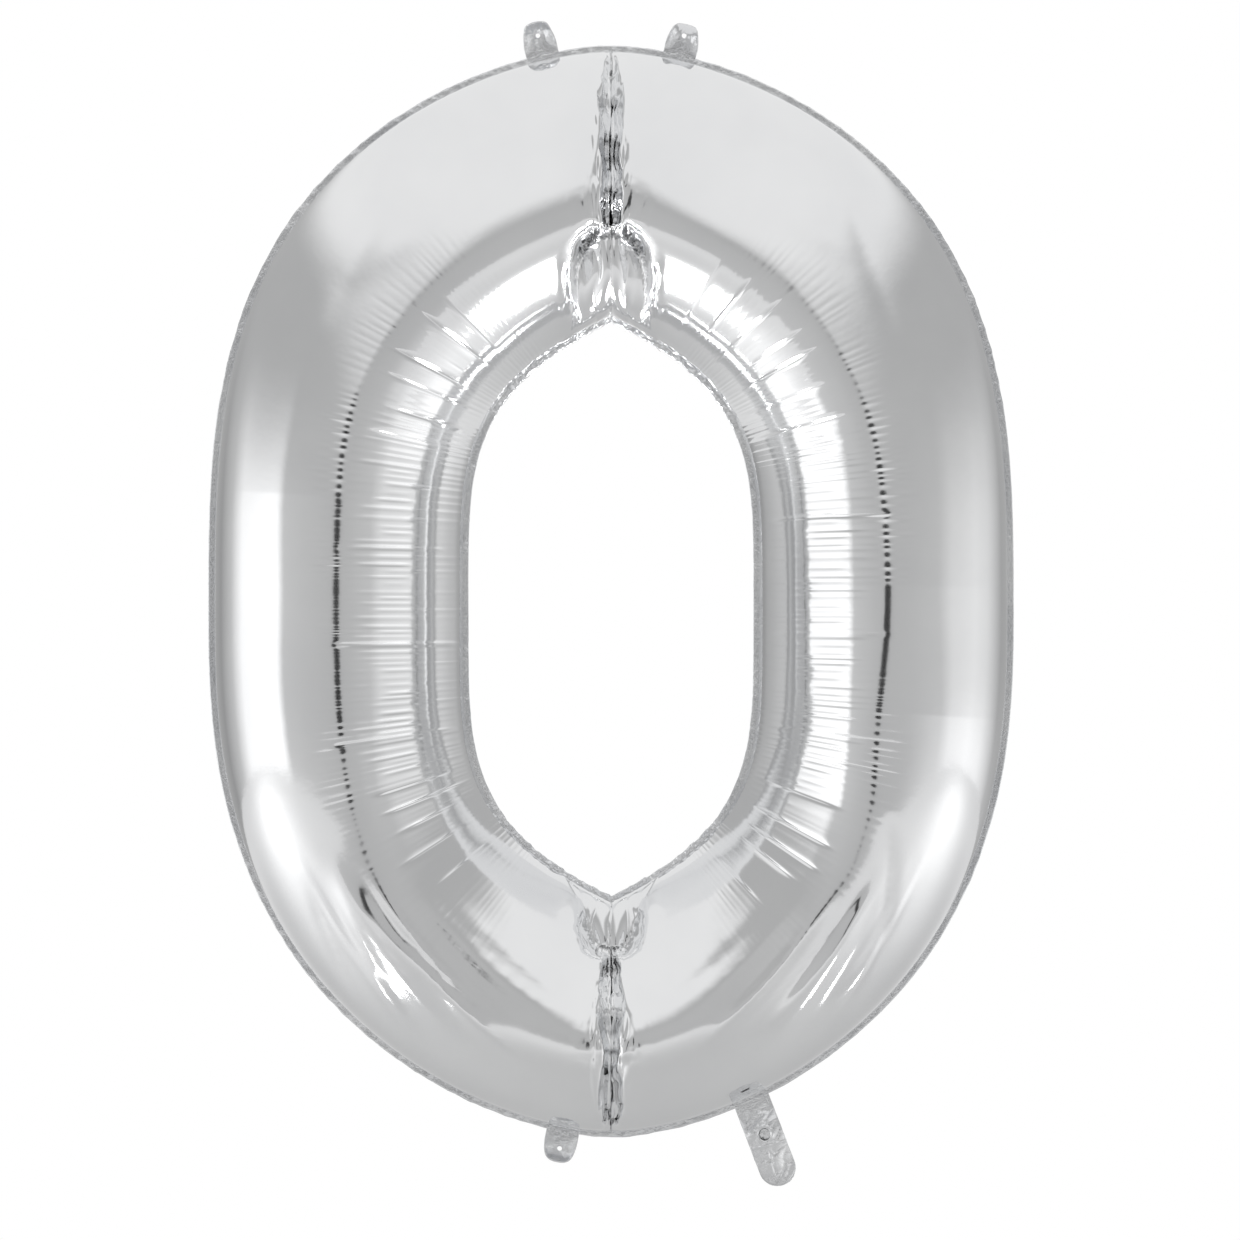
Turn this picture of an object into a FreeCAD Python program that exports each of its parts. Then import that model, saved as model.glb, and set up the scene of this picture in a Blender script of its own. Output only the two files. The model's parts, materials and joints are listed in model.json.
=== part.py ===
"""Foil number balloon: an inflated figure zero, in millimetres.

Two sheets of metallised film are heat-sealed to each other around the outside and around the hole. A short weld at
the top and one at the bottom part the ring into a left and a right chamber, joined at each end by a small gas channel
beside the hole. Flat tabs for hanging stand on the seam, and a flat filling neck holds the self-sealing valve, whose
sleeve reaches into the right chamber.

Frame: +Z up, -Y towards the front, origin midway between the two top hanging holes.
"""

import FreeCAD
import Part
import Sketcher
import math
import os

SIZES = (
    # The figure, measured over its seams.
    ("body_width", 634.0, "overall width"),
    ("upper_rise", 446.0, "widest line to the top of the body"),
    ("lower_drop", 414.0, "widest line to the foot of the body"),
    ("apex_drop", 0.0, "hanging holes down to the top of the body, worked out from the tabs"),
    ("side_fullness", 1.7, "exponent of the outline across"),
    ("upper_fullness", 3.1, "exponent of the outline above the widest line"),
    ("lower_fullness", 2.6, "exponent of the outline below the widest line"),
    ("hole_width", 224.0, "hole, across"),
    ("hole_height", 450.0, "hole, point to point"),
    ("hole_fullness", 4.2, "exponent of the hole's outline"),
    ("hole_lift", 2.0, "hole's centre above the widest line"),
    ("chamber_depth", 92.0, "seam plane to the crown of a chamber"),
    # Film and seams.
    ("film", 0.8, "one sheet"),
    ("bond", 0.4, "fused layer between the sheets"),
    ("seam_width", 5.0, "flat seam around both edges"),
    ("weld_width", 6.0, "top and bottom welds, across"),
    ("end_length", 60.0, "length over which a chamber rounds down to a weld"),
    ("channel_reach", 36.0, "half length of a gas channel"),
    ("upper_channel_width", 66.0, "upper gas channel, up and down"),
    ("upper_channel_depth", 30.0, "seam plane to its crown"),
    ("lower_channel_width", 40.0, "lower gas channel, up and down"),
    ("lower_channel_depth", 20.0, "seam plane to its crown"),
    # Tabs.
    ("tab_width", 26.0, "across"),
    ("tab_thickness", 1.2, "both sheets fused"),
    ("tab_length", 27.0, "hanging tab, root to tip"),
    ("tab_hole", 4.0, "diameter"),
    ("hanging_span", 115.0, "between the two top hanging holes"),
    ("foot_tab_length", 25.0, "root to tip"),
    ("foot_tab_offset", 38.0, "foot tab's root, left of the middle"),
    ("fold_gap", 1.0, "seam edge to the fold line of a tab"),
    # Filling neck and valve.
    ("neck_width", 29.0, "across"),
    ("neck_length", 68.0, "root to tip"),
    ("neck_offset", 111.0, "neck's root, right of the middle"),
    ("neck_lean", 21.0, "degrees from straight down"),
    ("neck_gap", 2.0, "seam edge to the fold line of the neck"),
    ("neck_ply", 0.5, "one ply"),
    ("neck_seal", 3.0, "sealed margin around the neck"),
    ("ply_gap", 0.3, "between two plies"),
    ("inlet_width", 9.0, "diameter of the filling hole"),
    ("inlet_reach", 25.0, "neck's root to the filling hole"),
    ("valve_width", 22.0, "sleeve, across"),
    ("valve_length", 100.0, "sleeve inside the chamber"),
    ("valve_ply", 0.4, "one ply"),
    ("valve_weld", 1.5, "side weld of the sleeve, across"),
    ("valve_fold", 3.0, "seam to the fold line of the sleeve"),
)

TRACE_STEPS = 4000  # points along an outline before it is divided evenly
OUTLINE_POINTS = 41
ACROSS_STEPS = 16
ALONG_STEPS = 26
END_STEPS = 7  # sections over each rounded end of a chamber


class Sizes:
    """Reads the driving dimensions from the sheet by name."""

    def __init__(self, sheet):
        self._sheet = sheet

    def __getattr__(self, name):
        return float(self._sheet.get(name))


def make_sheet(doc):
    sheet = doc.addObject("Spreadsheet::Sheet", "Sizes")
    for row, (alias, value, note) in enumerate(SIZES, 1):
        sheet.set(f"A{row}", alias)
        sheet.set(f"B{row}", str(value))
        sheet.set(f"C{row}", note)
        sheet.setAlias(f"B{row}", alias)
    doc.recompute()
    return sheet


# ---------------------------------------------------------------- outlines, as (x, z) points of the right half


def widest_z(size):
    return -size.apex_drop - size.upper_rise


def hole_z(size):
    return widest_z(size) + size.hole_lift


def outer_trace(size, grow):
    """The body's right edge from top to foot, moved outwards by grow."""
    half = size.body_width / 2 + grow
    points = []
    for step in range(TRACE_STEPS + 1):
        angle = math.pi * step / TRACE_STEPS
        upper = angle <= math.pi / 2
        reach = (size.upper_rise if upper else size.lower_drop) + grow
        power = 2 / (size.upper_fullness if upper else size.lower_fullness)
        rise = reach * abs(math.cos(angle)) ** power
        x = half * math.sin(angle) ** (2 / size.side_fullness)
        points.append((x, widest_z(size) + (rise if upper else -rise)))
    return points


def hole_trace(size, grow):
    """The hole's right edge from its upper point to its lower one, moved into the film by grow."""
    half, reach = size.hole_width / 2 + grow, size.hole_height / 2 + grow
    points = []
    for step in range(TRACE_STEPS + 1):
        share = 1 - 2 * step / TRACE_STEPS
        x = half * (1 - abs(share) ** size.hole_fullness)
        points.append((x, hole_z(size) + reach * share))
    return points


def divide(trace, shares):
    """Points of a trace at the given shares of its length."""
    lengths = [0.0]
    for a, b in zip(trace, trace[1:]):
        lengths.append(lengths[-1] + math.dist(a, b))
    found, k = [], 0
    for share in shares:
        target = share * lengths[-1]
        while k < len(trace) - 2 and lengths[k + 1] < target:
            k += 1
        part = (target - lengths[k]) / (lengths[k + 1] - lengths[k])
        a, b = trace[k], trace[k + 1]
        found.append((a[0] + part * (b[0] - a[0]), a[1] + part * (b[1] - a[1])))
    return found


def closed_outline(trace):
    """A wire of two mirrored curves in the seam plane."""
    shares = [k / (OUTLINE_POINTS - 1) for k in range(OUTLINE_POINTS)]
    right = divide(trace, shares)
    right[0], right[-1] = (0.0, right[0][1]), (0.0, right[-1][1])
    edges = []
    for side in (1, -1):
        curve = Part.BSplineCurve()
        curve.interpolate([FreeCAD.Vector(side * x, 0, z) for x, z in right])
        edges.append(curve.toShape())
    return Part.Wire(edges)


def edge_at(trace, x, upper):
    """Height and slope of an outline at a distance from the middle, near its top or its foot."""
    ends = trace if upper else trace[::-1]
    for a, b in zip(ends, ends[1:]):
        if b[0] >= x:
            return a[1], (b[1] - a[1]) / (b[0] - a[0])
    raise ValueError("the outline is narrower than that")


# ---------------------------------------------------------------- chambers


def chamber_shares(size, inner, outer):
    """Shares of the ring's length at which a chamber has its sections, closer together over its rounded ends."""
    even = [k / 200 for k in range(101)]
    middles = [(a[0] + b[0]) / 2 for a, b in zip(divide(inner, even), divide(outer, even))]
    reach = next(s for s, x in zip(even, middles) if x >= size.end_length)
    end = [reach * (1 - math.cos(math.pi / 2 * k / END_STEPS)) for k in range(END_STEPS + 1)]
    middle = [reach + (1 - 2 * reach) * k / ALONG_STEPS for k in range(1, ALONG_STEPS)]
    return end + middle + [1 - s for s in reversed(end)]


def dome(size, inset, level):
    """The right chamber's front half as one face over y = -level, smaller than the film's outside by inset."""
    inner = hole_trace(size, size.seam_width + inset)
    outer = outer_trace(size, -size.seam_width - inset)
    shares = chamber_shares(size, inner, outer)
    side = size.weld_width / 2 + inset
    depth = size.chamber_depth - level - inset
    end = size.end_length
    inner_width = max(x for x, z in inner)
    outer_width = max(x for x, z in outer)
    grid = []
    for a, b in zip(divide(inner, shares), divide(outer, shares)):
        ax = side + a[0] * (1 - side / inner_width)
        bx = side + b[0] * (1 - side / outer_width)
        run = min((ax + bx) / 2 - side, end) / end
        crown = depth * math.sqrt(max(0.0, 1 - (1 - run) ** 2))
        section = []
        for k in range(ACROSS_STEPS + 1):
            turn = math.pi * k / ACROSS_STEPS
            share = (1 - math.cos(turn)) / 2
            x, z = ax + (bx - ax) * share, a[1] + (b[1] - a[1]) * share
            section.append(FreeCAD.Vector(x, -level - crown * math.sin(turn), z))
        grid.append(section)
    surface = Part.BSplineSurface()
    surface.interpolate(grid)
    return surface.toShape()


def wire_of(face):
    return Part.Wire(Part.__sortEdges__(face.Edges))


def closed_solid(faces):
    """A solid from faces that meet edge to edge."""
    shell = Part.makeShell(faces)
    shell.sewShape()
    solid = Part.Solid(shell)
    if solid.Volume < 0:
        solid.reverse()
    return solid


def chamber_space(size):
    """The gas space of the right chamber's front half."""
    top = dome(size, size.film, size.bond / 2)
    return closed_solid([top, Part.Face(wire_of(top))])


def front_outside(size):
    """The front sheet's outside with its chambers filled: a flat seam with a dome on either side of the welds."""
    level = size.bond / 2 + size.film
    right = dome(size, 0.0, level)
    left = right.mirror(FreeCAD.Vector(), FreeCAD.Vector(1, 0, 0))
    outlines = [closed_outline(outer_trace(size, 0)), closed_outline(hole_trace(size, 0))]
    faces = [right, left]
    for y, holes in ((-level, [wire_of(right), wire_of(left)]), (-size.bond / 2, [])):
        wires = [outline.translated(FreeCAD.Vector(0, y, 0)) for outline in outlines]
        faces += Part.makeFace(wires + holes, "Part::FaceMakerBullseye").Faces
    for outline in outlines:
        rim = outline.translated(FreeCAD.Vector(0, -level, 0))
        faces += rim.extrude(FreeCAD.Vector(0, size.film, 0)).Faces
    return closed_solid(faces)


def feature(doc, name, shape):
    made = doc.addObject("Part::Feature", name)
    made.Shape = shape
    return made


def mirrored(doc, name, source, normal):
    made = doc.addObject("Part::Mirroring", name)
    made.Source = source
    made.Normal = FreeCAD.Vector(*normal)
    return made


def fused(doc, name, shapes):
    made = doc.addObject("Part::MultiFuse", name)
    made.Shapes = shapes
    return made


def cut(doc, name, base, tool):
    made = doc.addObject("Part::Cut", name)
    made.Base, made.Tool = base, tool
    return made


def channel(doc, name, width, depth, centre, inset):
    """A gas channel as a bar of half-oval section across the middle; width and depth are names in the sheet."""
    size = Sizes(doc.getObject("Sizes"))
    oval = doc.addObject("Part::Ellipse", name + "_oval")
    upright, across = f"Sizes.{width} / 2 - {inset}", f"Sizes.{depth} - {inset}"
    if getattr(size, width) / 2 < getattr(size, depth):
        raise ValueError("a channel is deeper than half its width")
    oval.setExpression("MajorRadius", upright)
    oval.setExpression("MinorRadius", across)
    oval.Placement = FreeCAD.Placement(
        FreeCAD.Vector(0, 0, centre), FreeCAD.Rotation(FreeCAD.Vector(0, 1, 0), -90)
    )
    bar = doc.addObject("Part::Extrusion", name)
    bar.Base = oval
    bar.DirMode = "Custom"
    bar.Dir = FreeCAD.Vector(1, 0, 0)
    bar.Solid = True
    bar.Symmetric = True
    bar.setExpression("LengthFwd", "Sizes.channel_reach * 2")
    return bar


def flat_ring(doc, name, outlines, thickness):
    """The area between two closed outlines, thickened evenly to both sides of the seam plane."""
    wires = feature(doc, name + "_outline", Part.makeCompound(outlines))
    ring = doc.addObject("Part::Extrusion", name)
    ring.Base = wires
    ring.DirMode = "Custom"
    ring.Dir = FreeCAD.Vector(0, -1, 0)
    ring.Solid = True
    ring.FaceMakerClass = "Part::FaceMakerBullseye"
    ring.Symmetric = True
    ring.setExpression("LengthFwd", thickness)
    return ring


def channel_centres(size):
    """Heights of the two gas channels' middles, beside the hole's points."""
    root = size.hole_height / 2 + size.seam_width
    upper = hole_z(size) + root + size.upper_channel_width / 2
    lower = hole_z(size) - root - size.lower_channel_width / 2
    return upper, lower


def channels(doc, size, name, inset):
    upper, lower = channel_centres(size)
    return [
        channel(doc, "upper_" + name, "upper_channel_width", "upper_channel_depth", upper, inset),
        channel(doc, "lower_" + name, "lower_channel_width", "lower_channel_depth", lower, inset),
    ]


def half_space(doc, size):
    """Everything behind the front sheet's back face."""
    box = doc.addObject("Part::Box", "behind_front_sheet")
    box.setExpression("Length", "Sizes.body_width * 2")
    box.setExpression("Width", "Sizes.chamber_depth")
    box.setExpression("Height", "(Sizes.upper_rise + Sizes.lower_drop) * 2")
    low = widest_z(size) - (size.upper_rise + size.lower_drop)
    box.Placement.Base = FreeCAD.Vector(-size.body_width, -size.bond / 2, low)
    return box


def foil_panels(doc, size):
    """The two sheets: each a flat seam with two domed half chambers and two half channels."""
    sheet = feature(doc, "front_sheet_filled", front_outside(size))
    outside = fused(doc, "front_outside", [sheet, *channels(doc, size, "channel_outside", 0.0)])
    right = feature(doc, "right_gas_space", chamber_space(size))
    left = mirrored(doc, "left_gas_space", right, (1, 0, 0))
    gas = [right, left, *channels(doc, size, "channel_inside", size.film)]
    inside = fused(doc, "front_inside", [half_space(doc, size), *gas])
    front = cut(doc, "front_foil_panel", outside, inside)
    rear = mirrored(doc, "rear_foil_panel", front, (0, 1, 0))
    return [front, rear]


# ---------------------------------------------------------------- seams and welds


def neck_root(size):
    """Where the neck leaves the seam: its point on the outer edge, and the direction it runs in."""
    z, _ = edge_at(outer_trace(size, 0), size.neck_offset, upper=False)
    lean = math.radians(size.neck_lean)
    return FreeCAD.Vector(size.neck_offset, 0, z), FreeCAD.Vector(math.sin(lean), 0, -math.cos(lean))


def leaning(size, along, y=0.0):
    """Placement of a neck or valve piece: its own +Z runs out along the neck, starting along past the outer edge."""
    point, way = neck_root(size)
    turn = FreeCAD.Rotation(FreeCAD.Vector(0, 1, 0), 180 - size.neck_lean)
    return FreeCAD.Placement(point + way * along + FreeCAD.Vector(0, y, 0), turn)


def seam_bonds(doc, size):
    """The fused layer of the outer seam, open where the valve passes, and that of the hole's seam."""
    outer_lines = [closed_outline(outer_trace(size, grow)) for grow in (0, -size.seam_width)]
    ring = flat_ring(doc, "outer_ring", outer_lines, "Sizes.bond")
    slot = doc.addObject("Part::Box", "valve_slot")
    slot.setExpression("Length", "Sizes.valve_width + 2 * Sizes.valve_weld")
    slot.setExpression("Width", "Sizes.bond * 4")
    slot.setExpression("Height", "Sizes.seam_width * 4")
    slot.Placement = leaning(size, 0).multiply(
        FreeCAD.Placement(
            FreeCAD.Vector(
                -size.valve_width / 2 - size.valve_weld, -2 * size.bond, -2 * size.seam_width
            ),
            FreeCAD.Rotation(),
        )
    )
    outer = cut(doc, "outer_seam_bond", ring, slot)
    hole_lines = [closed_outline(hole_trace(size, grow)) for grow in (size.seam_width, 0)]
    inner = flat_ring(doc, "hole_seam_bond", hole_lines, "Sizes.bond")
    return [outer, inner]


def crease_weld(doc, size, name, low, high):
    weld = doc.addObject("Part::Box", name)
    weld.setExpression("Length", "Sizes.weld_width")
    weld.setExpression("Width", "Sizes.bond")
    weld.Height = high - low
    weld.Placement.Base = FreeCAD.Vector(-size.weld_width / 2, -size.bond / 2, low)
    return weld


def crease_welds(doc, size):
    """The two welds that part the chambers, from the outer seam to the gas channels."""
    upper, lower = channel_centres(size)
    top = -size.apex_drop - size.seam_width - size.bond
    foot = widest_z(size) - size.lower_drop + size.seam_width + size.bond
    return [
        crease_weld(doc, size, "top_crease_weld", upper + size.upper_channel_width / 2, top),
        crease_weld(doc, size, "foot_crease_weld", foot, lower - size.lower_channel_width / 2),
    ]


# ---------------------------------------------------------------- flat pieces


def plane(body, role):
    return next(o for o in body.Origin.OriginFeatures if o.Role == role)


def tongue_sketch(body, name, width, straight, hole=None, drop=None):
    """A tongue with a round tip in the body's XZ plane, its root on the origin and its tip upwards.

    width, straight (root to the tip's centre), hole (centre height, diameter) and drop (how far the root lies below
    the origin) are expressions.
    """
    sketch = body.newObject("Sketcher::SketchObject", name)
    sketch.AttachmentSupport = [(plane(body, "XZ_Plane"), "")]
    sketch.MapMode = "FlatFace"
    half, up = 10.0, 20.0
    corner = [FreeCAD.Vector(x, z, 0) for x, z in ((-half, 0), (half, 0), (half, up), (-half, up))]
    sketch.addGeometry(
        [
            Part.LineSegment(corner[0], corner[1]),
            Part.LineSegment(corner[1], corner[2]),
            Part.ArcOfCircle(
                Part.Circle(FreeCAD.Vector(0, up, 0), FreeCAD.Vector(0, 0, 1), half), 0, math.pi
            ),
            Part.LineSegment(corner[3], corner[0]),
        ]
    )
    root, right, tip, left = range(4)
    start, end, centre = 1, 2, 3
    fixed = [
        Sketcher.Constraint("Coincident", root, end, right, start),
        Sketcher.Constraint("Tangent", right, end, tip, start),
        Sketcher.Constraint("Tangent", tip, end, left, start),
        Sketcher.Constraint("Coincident", left, end, root, start),
        Sketcher.Constraint("Vertical", right),
        Sketcher.Constraint("Symmetric", root, start, root, end, -2),
        Sketcher.Constraint("PointOnObject", tip, centre, -2),
    ]
    sketch.addConstraint(fixed)
    measure(sketch, "width", width, "DistanceX", root, start, root, end)
    measure(sketch, "straight", straight, "DistanceY", -1, start, tip, centre)
    if drop:
        measure(sketch, "drop", drop, "DistanceY", root, start, -1, start)
    else:
        sketch.addConstraint(Sketcher.Constraint("PointOnObject", root, start, -1))
    if hole:
        ring = sketch.addGeometry(
            Part.Circle(FreeCAD.Vector(0, up / 2, 0), FreeCAD.Vector(0, 0, 1), half / 4)
        )
        sketch.addConstraint(Sketcher.Constraint("PointOnObject", ring, centre, -2))
        measure(sketch, "hole_height", hole[0], "DistanceY", -1, start, ring, centre)
        measure(sketch, "hole_size", hole[1], "Diameter", ring)
    return sketch


def measure(sketch, name, expression, kind, *where):
    """Adds a named dimension and binds it to the sheet."""
    index = sketch.addConstraint(Sketcher.Constraint(kind, *where, 10.0))
    sketch.renameConstraint(index, name)
    sketch.setExpression(f"Constraints.{name}", expression)


def pad(body, sketch, thickness):
    made = body.newObject("PartDesign::Pad", "pad")
    made.Profile = sketch
    made.SideType = "Symmetric"
    made.setExpression("Length", thickness)
    return made


def tongue(doc, label, thickness, placement, **outline):
    body = doc.addObject("PartDesign::Body", label)
    pad(body, tongue_sketch(body, label + "_outline", **outline), thickness)
    body.Placement = placement
    return body


def edge_tab(doc, size, label, x, upper, length):
    """A flat tab that stands square to the outer seam, with a hole for a cord; length is a name in the sheet."""
    z, slope = edge_at(outer_trace(size, 0), abs(x), upper)
    lean = math.degrees(math.atan(slope)) * math.copysign(1, x)
    turn = FreeCAD.Rotation(FreeCAD.Vector(0, 1, 0), -lean + (0 if upper else 180))
    root = FreeCAD.Vector(x, 0, z) + turn.multVec(FreeCAD.Vector(0, 0, size.fold_gap))
    return tongue(
        doc,
        label,
        "Sizes.tab_thickness",
        FreeCAD.Placement(root, turn),
        width="Sizes.tab_width",
        straight=f"Sizes.{length} - Sizes.tab_width / 2",
        hole=(f"Sizes.{length} - Sizes.tab_width / 2", "Sizes.tab_hole"),
    )


def hanging_root(size):
    """Where a top tab stands: distance from the middle that puts its hole half the hanging span out, and the
    height of that hole."""
    reach = size.fold_gap + size.tab_length - size.tab_width / 2
    x = size.hanging_span / 2
    for _ in range(20):
        z, slope = edge_at(outer_trace(size, 0), x, upper=True)
        x = size.hanging_span / 2 + reach * math.sin(math.atan(slope))
    return x, z + reach * math.cos(math.atan(slope))


def level_with_hanging_holes(sheet, size):
    """Lowers the body until the hanging holes are at the origin's height."""
    _, height = hanging_root(size)
    sheet.set("apex_drop", str(size.apex_drop + height))


def tabs(doc, size):
    x, _ = hanging_root(size)
    return [
        edge_tab(doc, size, "left_hanging_tab", -x, True, "tab_length"),
        edge_tab(doc, size, "right_hanging_tab", x, True, "tab_length"),
        edge_tab(doc, size, "foot_tab", -size.foot_tab_offset, False, "foot_tab_length"),
    ]


def filling_neck(doc, size):
    """Two plies with a sealed margin between them, open at the root, and the filling hole in the front one."""
    straight = "Sizes.neck_length - Sizes.neck_width / 2"
    outline = {"width": "Sizes.neck_width", "straight": straight}
    middle = (size.ply_gap + size.neck_ply) / 2
    hole = ("Sizes.inlet_reach", "Sizes.inlet_width")
    front = tongue(
        doc,
        "neck_front_ply",
        "Sizes.neck_ply",
        leaning(size, size.neck_gap, -middle),
        hole=hole,
        **outline,
    )
    rear = tongue(
        doc, "neck_rear_ply", "Sizes.neck_ply", leaning(size, size.neck_gap, middle), **outline
    )
    seal = tongue(
        doc, "neck_edge_seal", "Sizes.ply_gap", leaning(size, size.neck_gap), **outline
    )
    opening = tongue_sketch(
        seal,
        "neck_opening",
        width="Sizes.neck_width - 2 * Sizes.neck_seal",
        straight=straight,
        drop="Sizes.neck_seal",
    )
    whole = seal.Tip
    doc.recompute()
    pocket = seal.newObject("PartDesign::Pocket", "neck_pocket")
    pocket.Profile = opening
    pocket.Type = "ThroughAll"
    pocket.SideType = "Symmetric"
    doc.recompute()
    if pocket.Shape.Volume > 0.9 * whole.Shape.Volume:
        raise ValueError("the neck's pocket cuts nothing")
    return [front, rear, seal]


def strip(doc, label, thickness, placement, width, length):
    """A flat rectangle from its root on the origin, running down in the body's XZ plane, as expressions."""
    box = doc.addObject("Part::Box", label)
    box.setExpression("Length", width)
    box.setExpression("Width", thickness)
    box.setExpression("Height", length)
    doc.recompute()
    shift = FreeCAD.Vector(-box.Length.Value / 2, -box.Width.Value / 2, -box.Height.Value)
    box.Placement = placement.multiply(FreeCAD.Placement(shift, FreeCAD.Rotation()))
    return box


def valve(doc, size):
    """The self-sealing valve: a throat through the seam and a two-ply sleeve, welded along its sides."""
    throat = strip(
        doc,
        "valve_throat",
        "Sizes.bond",
        leaning(size, 0),
        "Sizes.valve_width",
        "Sizes.seam_width",
    )
    inside = -size.seam_width - size.valve_fold
    middle = (size.ply_gap + size.valve_ply) / 2
    plies = [
        strip(
            doc,
            label,
            "Sizes.valve_ply",
            leaning(size, inside, y),
            "Sizes.valve_width",
            "Sizes.valve_length",
        )
        for label, y in (("valve_front_ply", -middle), ("valve_rear_ply", middle))
    ]
    sides = []
    for name, way in (("near_side", -1), ("far_side", 1)):
        across = way * (size.valve_width - size.valve_weld) / 2
        place = leaning(size, inside).multiply(
            FreeCAD.Placement(FreeCAD.Vector(across, 0, 0), FreeCAD.Rotation())
        )
        side = strip(doc, name, "Sizes.ply_gap", place, "Sizes.valve_weld", "Sizes.valve_length")
        sides.append(side)
    welds = doc.addObject("Part::Compound", "valve_side_welds")
    welds.Links = sides
    return [throat, *plies, welds]


# ---------------------------------------------------------------- document


def check(doc, subparts):
    for obj in doc.Objects:
        if {"Invalid", "Error"} & set(obj.State):
            raise RuntimeError(f"{obj.Label} did not recompute: {obj.State}")
    for obj in subparts:
        shape = obj.Shape
        if shape.isNull() or not shape.isValid() or not shape.Solids:
            raise RuntimeError(f"{obj.Label} has no valid solid")


def main():
    doc = FreeCAD.newDocument("foil_number_balloon")
    sheet = make_sheet(doc)
    size = Sizes(sheet)
    level_with_hanging_holes(sheet, size)
    doc.recompute()
    subparts = [
        *foil_panels(doc, size),
        *seam_bonds(doc, size),
        *crease_welds(doc, size),
        *tabs(doc, size),
        *filling_neck(doc, size),
        *valve(doc, size),
    ]
    doc.recompute()
    check(doc, subparts)
    os.makedirs("parts", exist_ok=True)
    for obj in subparts:
        obj.Shape.exportStep(os.path.join("parts", obj.Label + ".step"))
        box = obj.Shape.BoundBox
        print(
            f"{obj.Label:20s} solids {len(obj.Shape.Solids)}  volume {obj.Shape.Volume / 1000:9.3f} cm3  "
            f"x {box.XMin:.1f} {box.XMax:.1f}  y {box.YMin:.2f} {box.YMax:.2f}  z {box.ZMin:.1f} {box.ZMax:.1f}"
        )


main()
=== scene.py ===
import json
import math

import bpy
import numpy as np
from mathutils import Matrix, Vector


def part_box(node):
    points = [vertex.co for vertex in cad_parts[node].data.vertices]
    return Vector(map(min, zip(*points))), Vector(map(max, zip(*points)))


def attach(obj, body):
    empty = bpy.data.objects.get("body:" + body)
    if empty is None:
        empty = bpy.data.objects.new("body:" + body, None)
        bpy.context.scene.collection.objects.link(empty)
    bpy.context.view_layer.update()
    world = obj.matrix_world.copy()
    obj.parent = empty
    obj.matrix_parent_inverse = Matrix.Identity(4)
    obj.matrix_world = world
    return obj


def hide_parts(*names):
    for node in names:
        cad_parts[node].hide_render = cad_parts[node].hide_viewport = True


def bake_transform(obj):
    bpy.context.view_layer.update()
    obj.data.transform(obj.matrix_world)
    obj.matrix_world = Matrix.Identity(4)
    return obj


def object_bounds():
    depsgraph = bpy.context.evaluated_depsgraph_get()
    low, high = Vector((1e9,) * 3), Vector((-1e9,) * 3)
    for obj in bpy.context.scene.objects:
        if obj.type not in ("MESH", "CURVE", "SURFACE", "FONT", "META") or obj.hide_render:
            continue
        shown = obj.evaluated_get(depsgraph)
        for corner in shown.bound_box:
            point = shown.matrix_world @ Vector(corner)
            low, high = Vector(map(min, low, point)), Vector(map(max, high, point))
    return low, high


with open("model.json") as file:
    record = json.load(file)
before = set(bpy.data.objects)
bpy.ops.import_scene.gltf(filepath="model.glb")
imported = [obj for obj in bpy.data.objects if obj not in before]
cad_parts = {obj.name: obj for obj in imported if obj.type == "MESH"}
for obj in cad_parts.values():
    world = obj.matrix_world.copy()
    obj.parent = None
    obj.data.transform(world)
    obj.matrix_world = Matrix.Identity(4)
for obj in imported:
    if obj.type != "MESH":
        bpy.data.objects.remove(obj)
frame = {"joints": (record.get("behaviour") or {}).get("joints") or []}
CAD_LOW, CAD_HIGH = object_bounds()

# ---------------------------------------------------------------- the figure's outlines, in metres

MM = 0.001
SEAM = 5 * MM  # width of the flat seam round both edges
FILM = 0.4 * MM  # thickness of one sheet
SIDE_FULLNESS, UPPER_FULLNESS, LOWER_FULLNESS, HOLE_FULLNESS = 1.7, 3.1, 2.6, 4.2  # exponents of the outlines
UPPER_SHARE = 446 / 860  # of the body's height, above its widest line
TRACE = 3000  # points along an outline

body_low, body_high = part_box("front_foil_panel")
hole_low, hole_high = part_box("hole_seam_bond")
HALF_WIDTH = body_high.x
TOP, FOOT = body_high.z, body_low.z
UPPER_RISE = (TOP - FOOT) * UPPER_SHARE
LOWER_DROP = (TOP - FOOT) - UPPER_RISE
WIDEST = TOP - UPPER_RISE
DEPTH = -body_low.y
HOLE_Z = (hole_high.z + hole_low.z) / 2
HOLE_RISE = (hole_high.z - hole_low.z) / 2 - SEAM
HOLE_HALF = hole_high.x - SEAM


def outer_trace(grow):
    """The body's right edge from top to foot, moved outwards by grow, as (x, z) rows."""
    angle = np.linspace(0, math.pi, TRACE)
    upper = angle <= math.pi / 2
    reach = np.where(upper, UPPER_RISE, LOWER_DROP) + grow
    power = 2 / np.where(upper, UPPER_FULLNESS, LOWER_FULLNESS)
    rise = reach * np.abs(np.cos(angle)) ** power
    x = (HALF_WIDTH + grow) * np.abs(np.sin(angle)) ** (2 / SIDE_FULLNESS)
    return np.stack([x, WIDEST + np.where(upper, rise, -rise)], 1)


def hole_trace(grow):
    """The hole's right edge from its upper point to its lower one, moved into the film by grow."""
    share = np.linspace(1, -1, TRACE)
    x = (HOLE_HALF + grow) * (1 - np.abs(share) ** HOLE_FULLNESS)
    return np.stack([x, HOLE_Z + (HOLE_RISE + grow) * share], 1)


def lengths(line):
    """How far along a line each of its points is."""
    return np.concatenate([[0], np.cumsum(np.linalg.norm(np.diff(line, axis=0), axis=1))])


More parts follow.
